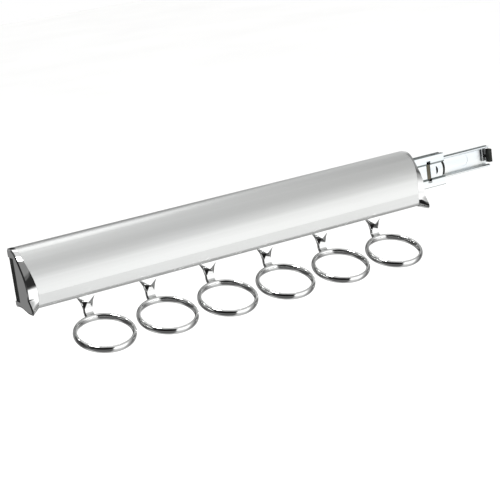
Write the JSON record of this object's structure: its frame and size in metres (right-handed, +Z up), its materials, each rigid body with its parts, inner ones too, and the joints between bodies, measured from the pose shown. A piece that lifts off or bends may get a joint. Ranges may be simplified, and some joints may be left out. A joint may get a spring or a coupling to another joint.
{
  "type": "pull-out ring rack",
  "caption": "Pull-out wardrobe rack: an aluminium cover with chromed end caps on a full-extension ball slide, with a row of fixed chrome rings hung below it.",
  "frame": {"origin": "midway between the two wall screw holes, on the wall face of the wall rail", "axes": "+X along the rack towards the slide's fixed rear end, -X the way it pulls out, +Y into the wall, +Z up"},
  "size_m": [0.446, 0.0673, 0.0787],
  "materials": {
    "anodised": "satin anodised",
    "chrome": "polished",
    "zinc_steel": "bright zinc plated",
    "yellow_zinc": "yellow passivated",
    "bearing_steel": "polished",
    "fastener_steel": "zinc plated",
    "rubber": "matte"
  },
  "bodies": {
    "wall_rail": {"wall_rail": "zinc_steel", "wall_rail_bumper": "rubber"},
    "middle_rail": {"middle_rail": "zinc_steel", "stop_plate": "yellow_zinc", "stop_buffer": "rubber"},
    "carriage": {"carriage_rail": "zinc_steel", "carriage_bumper": "rubber", "rail_screws": "fastener_steel", "cover_profile": "anodised", "front_end_cap": "chrome", "rear_end_cap": "chrome", "ring_1": "chrome", "ring_2": "chrome", "ring_3": "chrome", "ring_4": "chrome", "ring_5": "chrome", "ring_6": "chrome", "ring_washers": "fastener_steel", "ring_nuts": "fastener_steel"},
    "inner_retainer": {"inner_ball_retainer": "yellow_zinc", "inner_balls": "bearing_steel"},
    "outer_retainer": {"outer_ball_retainer": "yellow_zinc", "outer_balls": "bearing_steel"}
  },
  "joints": [
    {"name": "stage_one", "type": "slide", "parent": "wall_rail", "child": "middle_rail", "axis": [-1, 0, 0], "range_m": [-0.0465, 0.13]},
    {"name": "stage_two", "type": "slide", "parent": "middle_rail", "child": "carriage", "axis": [-1, 0, 0], "range_m": [-0.0405, 0.1343]},
    {"name": "inner_retainer_roll", "type": "slide", "parent": "wall_rail", "child": "inner_retainer", "axis": [-1, 0, 0], "range_m": [-0.0235, 0.0655]},
    {"name": "outer_retainer_roll", "type": "slide", "parent": "middle_rail", "child": "outer_retainer", "axis": [-1, 0, 0], "range_m": [-0.0205, 0.0675]}
  ],
  "couplings": [
    {"joint": "inner_retainer_roll", "follows": "stage_one", "ratio": 0.5},
    {"joint": "outer_retainer_roll", "follows": "stage_two", "ratio": 0.5}
  ]
}
